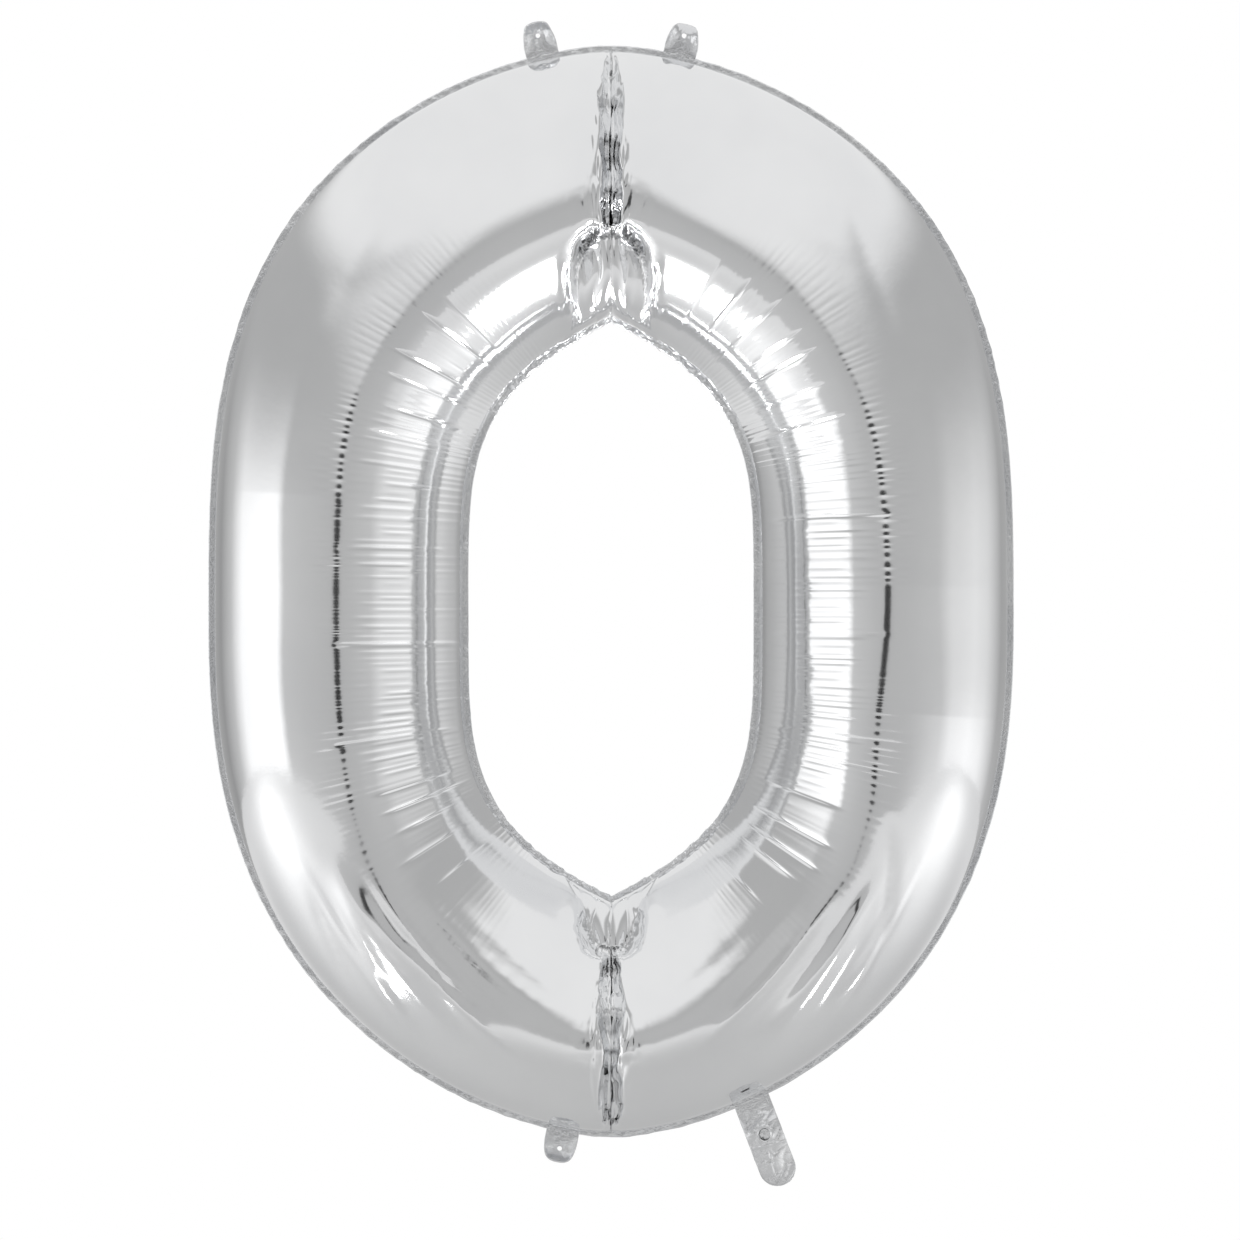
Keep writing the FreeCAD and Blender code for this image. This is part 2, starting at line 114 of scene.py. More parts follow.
def divided(line, count):
    """count points along a line, evenly apart."""
    run = lengths(line)
    at = np.linspace(0, run[-1], count)
    return np.stack([np.interp(at, run, line[:, k]) for k in range(line.shape[1])], 1)


def met(points, ways, line):
    """How far along a line the ray from each point along its way first meets it."""
    off = line[None] - points[:, None]
    across = off[..., 0] * ways[:, None, 1] - off[..., 1] * ways[:, None, 0]
    along = (off * ways[:, None]).sum(2)
    a, b = across[:, :-1], across[:, 1:]
    share = np.divide(a, a - b, out=np.zeros_like(a), where=np.abs(a - b) > 1e-15)
    reach = along[:, :-1] + share * (along[:, 1:] - along[:, :-1])
    reach = np.where((a * b <= 0) & (reach > 0), reach, np.inf)
    first = reach.argmin(1)
    rows = np.arange(len(points))
    found = np.isfinite(reach[rows, first])
    run = lengths(line)
    place = run[first] + share[rows, first] * (run[first + 1] - run[first])
    found[[0, -1]], place[0], place[-1] = True, 0, run[-1]
    place = np.maximum.accumulate(np.interp(rows, rows[found], place[found]))
    for _ in range(60):
        place[1:-1] = (place[:-2] + place[1:-1] + place[2:]) / 3
    return np.stack([np.interp(place, run, line[:, k]) for k in (0, 1)], 1)


def sections(count):
    """Ends of sections square to the right chamber's middle line, on the hole's seam and the outer one."""
    inner, outer = hole_trace(SEAM), outer_trace(-SEAM)
    a, b = divided(inner, count), divided(outer, count)
    for _ in range(5):
        middle = divided((a + b) / 2, count)
        way = np.gradient(middle, axis=0)
        for _ in range(40):
            way[1:-1] = (way[:-2] + way[1:-1] + way[2:]) / 3
            way[0], way[-1] = (1e-3, 0), (-1e-3, 0)
        way /= np.linalg.norm(way, axis=1)[:, None]
        out = np.stack([-way[:, 1], way[:, 0]], 1)
        a, b = met(middle, -out, inner), met(middle, out, outer)
    return a, b


# ---------------------------------------------------------------- random surface forms


def smooth(x, low, high):
    """0 up to low, 1 from high on, and an even S between them; high may be the smaller one."""
    t = np.clip((x - low) / (high - low), 0, 1)
    return t * t * (3 - 2 * t)


def window(x, low, high, soft):
    """1 between low and high, 0 outside, with soft edges."""
    return smooth(x, low - soft, low + soft) * (1 - smooth(x, high - soft, high + soft))


def crumple(points, size, seed, layers=6):
    """Sharp-ridged random relief from -1 to 1 over points, with ridges about size apart."""
    rng = np.random.default_rng(seed)
    total = np.zeros(points.shape[:-1])
    for _ in range(layers):
        way = rng.normal(size=points.shape[-1])
        way *= math.pi / size * rng.uniform(0.5, 1.5) / np.linalg.norm(way)
        total += np.abs(np.sin(points @ way + rng.uniform(0, 6.3) + 0.8 * total)) - 0.64
    return total / layers * 2.2


def waves(x, size, seed, layers=5):
    """Soft random waves from about -1 to 1 along x, about size long."""
    rng = np.random.default_rng(seed)
    total = np.zeros_like(x)
    for _ in range(layers):
        total += np.sin(x * 2 * math.pi / size * rng.uniform(0.55, 1.6) + rng.uniform(0, 6.3))
    return total / layers * 1.6


# ---------------------------------------------------------------- inflated film

ACROSS = 84  # points across a section
CROWN = 0.02  # place of the crown across a section, from -1 at the outer seam to 1 at the hole's
INNER_SLOPE = (  # share of the way from the crown to the hole, and the height there
    (0.0, 1.0), (0.1, 0.992), (0.2, 0.966), (0.3, 0.921), (0.45, 0.822), (0.6, 0.690),
    (0.72, 0.556), (0.84, 0.372), (0.92, 0.222), (0.97, 0.108), (1.0, 0.0),
)


def monotone(x, table):
    """A smooth curve through a table's points that never overshoots them."""
    xs, ys = np.array(table).T
    step = np.diff(ys) / np.diff(xs)
    slope = np.concatenate([[0.0], 2 * step[:-1] * step[1:] / (step[:-1] + step[1:]), [step[-1] * 1.6]])
    k = np.clip(np.searchsorted(xs, x) - 1, 0, len(xs) - 2)
    h = xs[k + 1] - xs[k]
    t = np.clip((x - xs[k]) / h, 0, 1)
    return (
        (2 * t**3 - 3 * t**2 + 1) * ys[k]
        + (t**3 - 2 * t**2 + t) * h * slope[k]
        + (-2 * t**3 + 3 * t**2) * ys[k + 1]
        + (t**3 - t**2) * h * slope[k + 1]
    )


def profile(t):
    """Height of a section, from 0 at the seams to 1 at the crown."""
    outer = np.sqrt(np.clip(1 - ((CROWN - t) / (CROWN + 1)) ** 2, 0, 1))
    return np.where(t < CROWN, outer, monotone((t - CROWN) / (1 - CROWN), INNER_SLOPE))


def spaced_rows():
    """The right chamber's sections, close together beside the welds, and their run along its middle."""
    a, b = sections(1400)
    run = lengths((a + b) / 2)
    total = run[-1]
    near = np.linspace(0, 1, 2000) * total
    gap = 0.45 * MM + 0.62 * MM * smooth(np.minimum(near, total - near), 6 * MM, 34 * MM)
    count = np.concatenate([[0], np.cumsum(np.diff(near) / gap[1:])])
    places = np.interp(np.linspace(0, count[-1], int(count[-1])), count, near)
    rows = [np.stack([np.interp(places, run, line[:, k]) for k in (0, 1)], 1) for line in (a, b)]
    return rows[0], rows[1], places


HOLE_SIDE, OUTER_SIDE, RUN = spaced_rows()
TOTAL = RUN[-1]


def pleat_lines(rng, low, high, spacing):
    """Places of pleats from low to high, spacing apart with some scatter."""
    count = max(2, int((high - low) / spacing))
    steps = rng.uniform(0.62, 1.45, count)
    return low + (high - low) * np.cumsum(steps) / steps.sum()


def pleats(t, lines, depth, starts, ends, soft, power=1.7):
    """Puffs between sharp valleys at the lines; each line has its depth, start and end across the section."""
    s = RUN
    lines = np.concatenate([[lines[0] - 1], lines, [lines[-1] + 1]])
    depth = np.concatenate([[0], depth, [0]])
    starts, ends = (np.concatenate([[0], x, [0]]) for x in (starts, ends))
    k = np.clip(np.searchsorted(lines, s) - 1, 0, len(lines) - 2)
    part = np.clip((s - lines[k]) / (lines[k + 1] - lines[k]), 0, 1)
    dip = np.abs(1 - 2 * part) ** power
    total = np.zeros((len(s), len(t)))
    for which, share in ((k, 1 - part), (k + 1, part)):
        reach = smooth(t[None], (starts[which] - soft)[:, None], (starts[which] + soft)[:, None])
        reach = reach * (1 - smooth(t[None], (ends[which] - soft)[:, None], (ends[which] + soft)[:, None]))
        total -= (dip * share * depth[which])[:, None] * reach
    return total


def creases(points, strokes):
    """Folds along slightly bowed strokes (x, z, x, z, width, height): a sharp edge with one soft flank."""
    total = np.zeros(points.shape[:-1])
    for x0, z0, x1, z1, width, height in strokes:
        a, b = np.array([x0, z0]), np.array([x1, z1])
        span = np.linalg.norm(b - a)
        way = (b - a) / span
        off = points - a
        along = off @ way / span
        across = off[..., 0] * way[1] - off[..., 1] * way[0] + 0.16 * span * along * (1 - along)
        flank = np.where(across > 0, np.exp(-across / width), np.exp(-((across / width / 0.55) ** 2)))
        total += height * flank * smooth(along, -0.05, 0.35) * (1 - smooth(along, 0.55, 1.05))
    return total


def lobe_folds(seed):
    """Strokes of the diagonal folds in a lower lobe, from its outer side down towards the weld."""
    rng = np.random.default_rng(seed)
    strokes = []
    for number, share in enumerate(np.linspace(0, 1, 9)):
        x, z = 0.250 - 0.135 * share + rng.uniform(-6, 6) * MM, -0.635 - 0.045 * share
        end_x, end_z = 0.145 - 0.115 * share + rng.uniform(-6, 6) * MM, -0.795 + 0.040 * share
        height = (1.1 + rng.uniform(0, 0.9)) * MM * (-1) ** number
        strokes.append((x, z, end_x, end_z, rng.uniform(6, 10) * MM, height))
    return tuple(strokes)


def grid_normals(grid):
    """Unit normals of a grid of points."""
    n = np.cross(np.gradient(grid, axis=0), np.gradient(grid, axis=1))
    length = np.linalg.norm(n, axis=2, keepdims=True)
    return n / np.where(length < 1e-12, 1, length)


# The look of each chamber (left -1 or right 1, front -1 or rear 1), by shares of its run from the top weld:
# where its crown is free of pleats, between which shares the crown is level and how far it falls towards the
# welds, and the runs of deep folds with their spacing. Its long folds are strokes, as creases() takes them.
LOOK = {
    (-1, -1): {
        "smooth_at": 2.0,
        "level": (0.41, 0.61),
        "fall": 0.22,
        "bends": ((0.15, 0.345, 25 * MM), (0.645, 0.79, 24 * MM)),
        "folds": (
            (0.150, -0.660, 0.030, -0.775, 0.011, 2.6 * MM), (0.215, -0.640, 0.140, -0.800, 0.014, 3.2 * MM),
            (0.190, -0.675, 0.050, -0.815, 0.011, 2.8 * MM), (0.235, -0.655, 0.190, -0.765, 0.010, -2.2 * MM),
            (0.165, -0.690, 0.085, -0.775, 0.008, -1.8 * MM), (0.205, -0.200, 0.075, -0.070, 0.026, 1.0 * MM),
            (0.235, -0.250, 0.165, -0.090, 0.020, -1.1 * MM),
        ),
    },
    (1, -1): {
        "smooth_at": 0.53,
        "level": (0.49, 0.60),
        "fall": 0.235,
        "bends": ((0.11, 0.33, 27 * MM), (0.66, 0.82, 26 * MM)),
        "folds": (
            (0.170, -0.660, 0.060, -0.800, 0.011, 2.6 * MM), (0.200, -0.670, 0.090, -0.825, 0.012, 2.8 * MM),
            (0.230, -0.640, 0.150, -0.800, 0.015, 3.2 * MM), (0.215, -0.610, 0.200, -0.740, 0.011, -2.2 * MM),
            (0.150, -0.690, 0.080, -0.770, 0.008, -1.8 * MM), (0.190, -0.180, 0.060, -0.060, 0.024, 0.9 * MM),
            (0.240, -0.270, 0.180, -0.100, 0.018, -1.2 * MM),
        ),
    },
    (-1, 1): {
        "smooth_at": 0.45,
        "level": (0.40, 0.60),
        "fall": 0.18,
        "bends": ((0.13, 0.34, 26 * MM), (0.65, 0.80, 25 * MM)),
        "folds": (
            (0.180, -0.650, 0.060, -0.820, 0.011, 2.8 * MM), (0.225, -0.640, 0.130, -0.820, 0.012, 1.7 * MM),
            (0.210, -0.220, 0.080, -0.070, 0.018, 1.1 * MM),
        ),
    },
    (1, 1): {
        "smooth_at": 2.0,
        "level": (0.42, 0.58),
        "fall": 0.18,
        "bends": ((0.12, 0.35, 24 * MM), (0.66, 0.82, 27 * MM)),
        "folds": (
            (0.170, -0.660, 0.050, -0.810, 0.011, 2.6 * MM), (0.215, -0.630, 0.130, -0.820, 0.013, 1.8 * MM),
            (0.220, -0.240, 0.100, -0.080, 0.020, -1.1 * MM),
        ),
    },
}


UPPER = {"width": 66 * MM, "depth": 44 * MM, "set_back": 26 * MM}  # the gas channel over the hole
LOWER = {"width": 40 * MM, "depth": 20 * MM, "set_back": 17 * MM}  # the one under it


def either(top, key):
    """A measure of the upper or the lower gas channel."""
    return np.where(top, UPPER[key], LOWER[key])


def crown_level(look):
    """Height of the crown along the chamber: level beside the hole, and lower towards both welds."""
    share = RUN / TOTAL
    upper, lower = look["level"]
    fall_up = np.clip((upper - share) / upper, 0, 1) ** 1.05
    fall_down = np.clip((share - lower) / (1 - lower), 0, 1) ** 1.05
    return 1 - look["fall"] * (fall_up + fall_down)


def crown_shift(look):
    """How far the crown lies below the middle of each arch, as a share of half the section."""
    share = RUN / TOTAL
    upper, lower = look["level"]
    in_top = smooth(share, upper, 0.1 * upper)
    in_foot = smooth(share, lower, 1 - 0.1 * (1 - lower))
    return 0.13 * in_top - 0.24 * in_foot


def past_hole(z):
    """How far points are above the hole's top or below its foot, which it is, and the gas channel's width."""
    top = RUN[:, None] < TOTAL / 2
    over = np.where(top, z - (HOLE_Z + HOLE_RISE + SEAM), (HOLE_Z - HOLE_RISE - SEAM) - z)
    return over, top, either(top, "width")


def chamber_end(x, z, seed):
    """The lobe's height near the welds, as a share of its full height, and the share of gas channel in it.

    In front of a weld the film is gathered into a strip, with its floor well below the lobe. Beside a gas
    channel the lobe's end stands steeply, set back from the middle.
    """
    over, top, width = past_hole(z)
    middle_off = (over / width - 0.40) / 0.62
    bulb = np.sqrt(np.clip(1 - np.where(middle_off > 0, middle_off, 0.55 * middle_off) ** 2, 0, 1))
    beside = smooth(bulb, 0.05, 0.35)
    wander = 0.6 * MM * waves(z, 37 * MM, seed + 5) + 0.6 * MM * waves(z, 13 * MM, seed + 6)
    foot = 0.3 * MM + either(top, "set_back") * bulb + np.abs(wander) * smooth(x, 1 * MM, 6 * MM)
    run = np.clip((x - foot) / (13 * MM), 0, 1)
    standing = (1 - (1 - run) ** 2.2) ** (1 / 1.9)
    strip_floor = 0.68 + 0.07 * waves(z, 50 * MM, 71)
    strip = 11 * MM * (0.85 + 0.30 * waves(z, 75 * MM, 72))
    gathered = strip_floor + (1 - strip_floor) * smooth(x, 0.2 * strip, strip)
    return (beside * standing + (1 - beside) * gathered) * (x > 0.1 * MM), beside


def channel_bulb(x, z):
    """Height of the gas channels: a short tube across the middle that runs up into the gathered strip."""
    over, top, width = past_hole(z)
    edge = (HOLE_RISE + SEAM) * np.clip(1 - x / (HOLE_HALF + SEAM), 0, 1) ** (1 / HOLE_FULLNESS)
    above_edge = np.clip(np.abs(z - HOLE_Z) - edge, 0, None)
    up = above_edge / np.maximum(above_edge + width - over, above_edge + 1e-6)
    oval = np.sin(0.64 * math.pi * up) ** 0.3 * (1 - smooth(over, width - 4 * MM, width + 10 * MM))
    waist = 1 - 0.18 * smooth(x, 0, 24 * MM)
    reach = 1 - 0.65 * smooth(over, 0.55 * width, width)
    return either(top, "depth") * oval * waist * (1 - smooth(x, 24 * MM * reach, 46 * MM * reach))


def bare_chamber(t, seed, look):
    """One smooth chamber: x, z, height and share of gas channel, a row per section and a column per t."""
    middle, half = (HOLE_SIDE + OUTER_SIDE) / 2, (OUTER_SIDE - HOLE_SIDE) / 2
    xz = middle[:, None] - half[:, None] * t[None, :, None]
    x, z = xz[..., 0], xz[..., 1]
    rounding, beside = chamber_end(x, z, seed)
    shifted = t[None] - crown_shift(look)[:, None] * (1 - t[None] ** 2)
    lobe = DEPTH * crown_level(look)[:, None] * profile(shifted) * rounding
    bulb = channel_bulb(x, z)
    height = np.maximum(lobe, bulb) + 0.35 * np.minimum(lobe, bulb) ** 2 / (DEPTH / 3)
    return x, z, height, beside


def pleat_relief(rng, seed, look, t):
    """Relief of the pleats and folds that cross the ring."""
    start, end = 104 * MM, TOTAL - 96 * MM
    fine = pleat_lines(rng, start, end, 5.9 * MM)

    def each(low, high, lines=fine):
        return rng.uniform(low, high, len(lines))

    # Fine pleats over the crown, from there to the kink of the inner slope, and from the kink to the hole.
    fade = window(fine, start + 24 * MM, end - 24 * MM, 24 * MM)
    limb = window(fine, TOTAL * 0.33, TOTAL * 0.675, TOTAL * 0.03)
    uneven = 0.65 + 0.35 * waves(fine, 60 * MM, seed + 3)
    off_smooth = smooth(np.abs(fine / TOTAL - look["smooth_at"]), 0.01, 0.05)
    over_crown = fade * (0.2 + 0.8 * limb) * off_smooth * uneven
    on_slope = fade * (0.12 + 0.88 * limb)
    at_hem = fade * (0.45 + 0.55 * limb)
    relief = pleats(t, fine, over_crown * each(0.12, 0.32) * MM, each(-0.18, -0.06), each(0.10, 0.34), 0.10)
    relief += pleats(t, fine, on_slope * each(0.16, 0.42) * MM, each(0.16, 0.42), each(0.58, 0.72), 0.07)
    relief += pleats(t, fine, at_hem * each(0.05, 0.32) * MM, each(0.56, 0.72), each(1.0, 1.3), 0.05)

    # Deep folds at the bends, with full facets between them, and a few single ones along the limb.
    for low, high, spacing in look["bends"]:
        deep = pleat_lines(rng, low * TOTAL, high * TOTAL, spacing)
        depth = each(0.6, 1.4, deep) * MM
        relief += pleats(t, deep, depth, each(0.18, 0.36, deep), each(0.68, 0.88, deep), 0.12, 8.0)
    for place in pleat_lines(rng, TOTAL * 0.36, TOTAL * 0.63, 62 * MM):
        line = np.exp(-((np.abs(RUN - place) / (1.5 * MM)) ** 1.2))
        reach = window(t, rng.uniform(-0.1, 0.15), rng.uniform(0.75, 1.0), 0.06)
        relief -= rng.uniform(0.3, 0.7) * MM * line[:, None] * reach[None]
    return relief


def gathered_relief(seed, t, x, z, height, beside):
    """Relief of the film gathered on the welds and over the gas channels."""
    over, _, width = past_hole(z)
    off_seam = 1 + t[None]
    at_weld = smooth(over, width - 14 * MM, width + 8 * MM) * smooth(off_seam, 0.02, 0.12)

    # Short wrinkles square to the weld, and crumpled film in the strip.
    wrinkles = np.abs(np.sin(z * math.pi / (5.4 * MM) + 1.6 * waves(z, 26 * MM, seed + 7)))
    strength = 0.25 + 0.75 * smooth(waves(z, 19 * MM, seed + 8), -0.8, 0.9)
    relief = -0.6 * MM * (wrinkles**0.6 - 0.5) * strength * (1 - smooth(x, 7 * MM, 40 * MM)) * at_weld
    in_strip = (1 - smooth(x, 5 * MM, 20 * MM)) * smooth(off_seam, 0.01, 0.06) * at_weld
    places = np.stack([x * 1.3, z * 0.6, height * 0.55], 2)
    relief += 2.8 * MM * crumple(places, 15 * MM, seed + 11, 4) * in_strip

    # Upright streaks on the bulb of the channel.
    on_bulb = beside * (1 - smooth(x, 14 * MM, 26 * MM))
    streaks = np.abs(np.sin(x * math.pi / (12 * MM) + 0.7 * waves(z, 50 * MM, seed + 9)))
    relief += 1.1 * MM * on_bulb * (streaks**0.8 - 0.6)
    places = np.stack([x * 1.4, z * 0.5, 0 * x], 2)
    relief += 0.4 * MM * on_bulb * crumple(places, 20 * MM, seed + 12, 4)
    return relief


def chamber(side, face, seed):
    """One face of one chamber as a grid: rows along the ring, columns from the outer seam to the hole."""
    look = LOOK[(side, face)]
    turn = np.linspace(0, math.pi, ACROSS)
    t = -np.cos(turn) * (0.9 + 0.1 * np.cos(turn) ** 2)
    x, z, height, beside = bare_chamber(t, seed, look)
    grid = np.stack([x, -height, z], 2)
    normal = grid_normals(grid)
    normal *= np.where(normal[..., 1] > 0, -1, 1)[..., None]

    relief = pleat_relief(np.random.default_rng(seed), seed, look, t)
    relief += gathered_relief(seed, t, x, z, height, beside)
    strokes = look["folds"] + lobe_folds(seed + 15)
    relief += creases(np.stack([x, z], 2), strokes) * smooth(x, 14 * MM, 40 * MM)
    slack = waves(RUN, 240 * MM, seed + 13)[:, None] * waves(t, 1.3, seed + 14)[None]
    relief += 0.8 * MM * slack * profile(t)[None]
    settle = np.clip(height / (3 * MM), 0, 1) * smooth(1 - np.abs(t), 0, 0.02)[None]
    grid += normal * (relief * settle)[..., None]

    # No point crosses the seam's plane or the middle; the ends meet the other chamber there.
    grid[..., 1] = np.minimum(grid[..., 1], -0.25 * MM)
    grid[..., 0] = np.maximum(grid[..., 0], 0.1 * MM)
    grid[[0, -1], :, 0] = 0
    grid[..., 0] *= side
    grid[..., 1] *= -face
    return grid


# ---------------------------------------------------------------- meshes


def mesh_object(name, points, faces, material):
    """A smooth-shaded object from points and faces that all have the same number of corners."""
    mesh = bpy.data.meshes.new(name)
    mesh.vertices.add(len(points))
    mesh.vertices.foreach_set("co", np.asarray(points, np.float32).ravel())
    faces = np.asarray(faces, np.int32)
    mesh.loops.add(faces.size)
    mesh.loops.foreach_set("vertex_index", faces.ravel())
    mesh.polygons.add(len(faces))
    mesh.polygons.foreach_set("loop_start", np.arange(0, faces.size, faces.shape[1], dtype=np.int32))
    mesh.update(calc_edges=True)
    mesh.validate()
    mesh.polygons.foreach_set("use_smooth", [True] * len(mesh.polygons))
    mesh.materials.append(material)
    made = bpy.data.objects.new(name, mesh)
    bpy.context.scene.collection.objects.link(made)
    return made


def quads_of(index, around):
    """The quads of a grid of point numbers; around joins its last row to its first."""
    below = np.roll(index, -1, 0)
    if not around:
        index, below = index[:-1], below[:-1]
    return np.stack([index[:, :-1], below[:, :-1], below[:, 1:], index[:, 1:]], 2).reshape(-1, 4)


def shell(name, grid, thickness, material, around=False):
    """A closed thin sheet on a grid of points; thickness is one number or one for each point."""
    rows, columns = grid.shape[:2]
    if around:
        normal = grid_normals(np.concatenate([grid[-2:], grid, grid[:2]]))[2:-2]
    else:
        normal = grid_normals(grid)
    off = normal * np.broadcast_to(np.asarray(thickness), (rows, columns))[..., None] / 2
    index = np.arange(rows * columns).reshape(rows, columns)
    other = index + rows * columns
    faces = [quads_of(index, around), quads_of(other, around)[:, ::-1]]
    for column, way in ((0, -1), (columns - 1, 1)):
        rim = quads_of(np.stack([index[:, column], other[:, column]], 1), around)
        faces.append(rim[:, ::way])
    if not around:
        for row, way in ((0, 1), (rows - 1, -1)):
            rim = quads_of(np.stack([index[row], other[row]], 1), False)
            faces.append(rim[:, ::way])
    points = np.concatenate([(grid + off).reshape(-1, 3), (grid - off).reshape(-1, 3)])
    return mesh_object(name, points, np.concatenate(faces), material)


def panel(name, face, seed, material):
    """A whole sheet of film: both chambers, joined along the welds and channels."""
    right, left = chamber(1, face, seed), chamber(-1, face, seed + 100)
    for row in (0, -1):
        both = (right[row] + left[row]) / 2
        right[row], left[row] = both, both
    ring = np.concatenate([right, left[-2:0:-1]])
    if face > 0:
        ring = ring[:, ::-1]
    return shell(name, ring, FILM, material, around=True)


# ---------------------------------------------------------------- materials


def new_material(name):
    """A new material, its node tree and its shader."""
    material = bpy.data.materials.new(name)
    material.use_nodes = True
    tree = material.node_tree
    shader = next(n for n in tree.nodes if n.type == "BSDF_PRINCIPLED")
    return material, tree, shader


def node(tree, kind, **values):
    """A new node; each value goes to the input of that name, or else to the node's own setting."""
    made = tree.nodes.new(kind)
    for key, value in values.items():
        if key in made.inputs:
            made.inputs[key].default_value = value
        else:
            setattr(made, key, value)
    return made


def foil(name, low, high, rough, crinkle, crinkle_size):
    """Metallised film: bright metal with a faint haze in its colour and gloss, and fine crinkles."""
    material, tree, shader = new_material(name)
    place = node(tree, "ShaderNodeTexCoord")
    haze = node(tree, "ShaderNodeTexNoise", Scale=9.0, Detail=4.0, Roughness=0.55)
    tree.links.new(place.outputs["Object"], haze.inputs["Vector"])
    tint = node(tree, "ShaderNodeValToRGB")
    tint.color_ramp.elements[0].position, tint.color_ramp.elements[1].position = 0.3, 0.7
    tint.color_ramp.elements[0].color = (*low, 1)
    tint.color_ramp.elements[1].color = (*high, 1)
    tree.links.new(haze.outputs["Fac"], tint.inputs["Fac"])
    tree.links.new(tint.outputs["Color"], shader.inputs["Base Color"])
    gloss = node(tree, "ShaderNodeMapRange")
    gloss.inputs["To Min"].default_value, gloss.inputs["To Max"].default_value = rough
    tree.links.new(haze.outputs["Fac"], gloss.inputs["Value"])
    tree.links.new(gloss.outputs["Result"], shader.inputs["Roughness"])
    fine = node(tree, "ShaderNodeTexNoise", Scale=crinkle_size, Detail=3.0, Roughness=0.6)
    tree.links.new(place.outputs["Object"], fine.inputs["Vector"])
    bump = node(tree, "ShaderNodeBump", Strength=crinkle, Distance=0.0006)
    tree.links.new(fine.outputs["Fac"], bump.inputs["Height"])
    tree.links.new(bump.outputs["Normal"], shader.inputs["Normal"])
    shader.inputs["Metallic"].default_value = 1.0
    return material


def clear_film(name):
    """Cloudy clear plastic film."""
    material, tree, shader = new_material(name)
    place = node(tree, "ShaderNodeTexCoord")
    cloud = node(tree, "ShaderNodeTexNoise", Scale=60.0, Detail=3.0)
    tree.links.new(place.outputs["Object"], cloud.inputs["Vector"])
    tint = node(tree, "ShaderNodeValToRGB")
    tint.color_ramp.elements[0].color = (0.72, 0.75, 0.78, 1)
    tint.color_ramp.elements[1].color = (0.88, 0.90, 0.92, 1)
    tree.links.new(cloud.outputs["Fac"], tint.inputs["Fac"])
    tree.links.new(tint.outputs["Color"], shader.inputs["Base Color"])
    shader.inputs["Roughness"].default_value = 0.25
    shader.inputs["Transmission Weight"].default_value = 0.7
    return material


silver = foil("silver_foil", (0.84, 0.845, 0.855), (0.90, 0.905, 0.91), (0.07, 0.13), 0.10, 55.0)
seal = foil("sealed_foil", (0.70, 0.71, 0.73), (0.88, 0.885, 0.89), (0.12, 0.26), 0.55, 420.0)

for name, node_name, face, seed in (
    ("front_foil", "front_foil_panel", -1, 21),
    ("rear_foil", "rear_foil_panel", 1, 57),
):
    sheet = panel(name, face, seed, silver)
    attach(sheet, "envelope")
    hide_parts(node_name)

# ---------------------------------------------------------------- seams and welds


def loop_of(trace, count):
    """A right-hand edge and its mirror image as one closed loop of evenly spaced points."""
    half = divided(trace, count)
    return np.concatenate([half, half[-2:0:-1] * (-1, 1)])


def ribbon(name, node_name, trace, into_film, count, columns, thickness, wave, shrink, seed):
    """The crinkled flat band along an outline, from just under the film's edge out to its own free edge.

    It waves and is pulled in by the film's shrinkage, most at its free edge and near the top and the foot.
    """
    inner, outer = loop_of(trace(into_film), count), loop_of(trace(0), count)
    share = np.linspace(0, 1, columns)
    flat = inner[:, None] * (1 - share[None, :, None]) + outer[:, None] * share[None, :, None]
    run = lengths(np.concatenate([inner, inner[:1]]))[:-1]
    angle = run / run[-1] * 2 * math.pi
    ring = np.stack([np.cos(angle), np.sin(angle)], 1) * run[-1] / (2 * math.pi)
    places = np.concatenate([np.repeat(ring[:, None], columns, 1), 0 * flat[..., :1]], 2)
    places[..., 2] = share * 4 * MM
    free = share[None] ** 1.2
    tip = 0.2 + 0.8 * smooth(np.abs(inner[:, 1:] - HOLE_Z), 0.62 * HOLE_RISE, 0.8 * HOLE_RISE)
    ruffle = crumple(places, 9 * MM, seed, 4) + 0.6 * crumple(places, 4.5 * MM, seed + 1, 4)
    pull = shrink * tip * (0.5 + 0.5 * crumple(places, 13 * MM, seed + 2, 3)) * free
    way = (outer - inner) / np.linalg.norm(outer - inner, axis=1)[:, None]
    flat = flat - way[:, None] * np.clip(pull, 0, None)[..., None]
    grid = np.stack([flat[..., 0], wave * tip * ruffle * free, flat[..., 1]], 2)
    made = shell(name, grid, thickness, seal, around=True)
    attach(made, "envelope")
    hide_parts(node_name)


UNDER_FILM = 1 * MM  # how far a seam's band reaches under the domed film
ribbon(
    "outer_seam", "outer_seam_bond", outer_trace, -SEAM - UNDER_FILM,
    count=900, columns=7, thickness=0.8 * MM, wave=0.45 * MM, shrink=0.8 * MM, seed=301,
)
ribbon(
    "hole_seam", "hole_seam_bond", hole_trace, SEAM + UNDER_FILM,
    count=620, columns=9, thickness=0.9 * MM, wave=1.5 * MM, shrink=1.5 * MM, seed=311,
)


def weld(name, node_name, seed):
    """The crumpled strip along a crease weld."""
    low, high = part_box(node_name)
    rows, columns = 240, 9
    z = np.linspace(low.z, high.z, rows)[:, None] + np.zeros((1, columns))
    x = np.linspace(low.x, high.x, columns)[None] + np.zeros((rows, 1))
    sway = 0.8 * MM * waves(z, 24 * MM, seed)
    places = np.stack([x, z, 0 * x], 2)
    y = 0.9 * MM * crumple(places, 6 * MM, seed + 1, 4)
    made = shell(name, np.stack([x + sway, y, z], 2), 1.4 * MM, seal)
    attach(made, "envelope")
    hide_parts(node_name)


weld("top_crease", "top_crease_weld", 321)
weld("foot_crease", "foot_crease_weld", 331)

# ---------------------------------------------------------------- tabs and filling neck


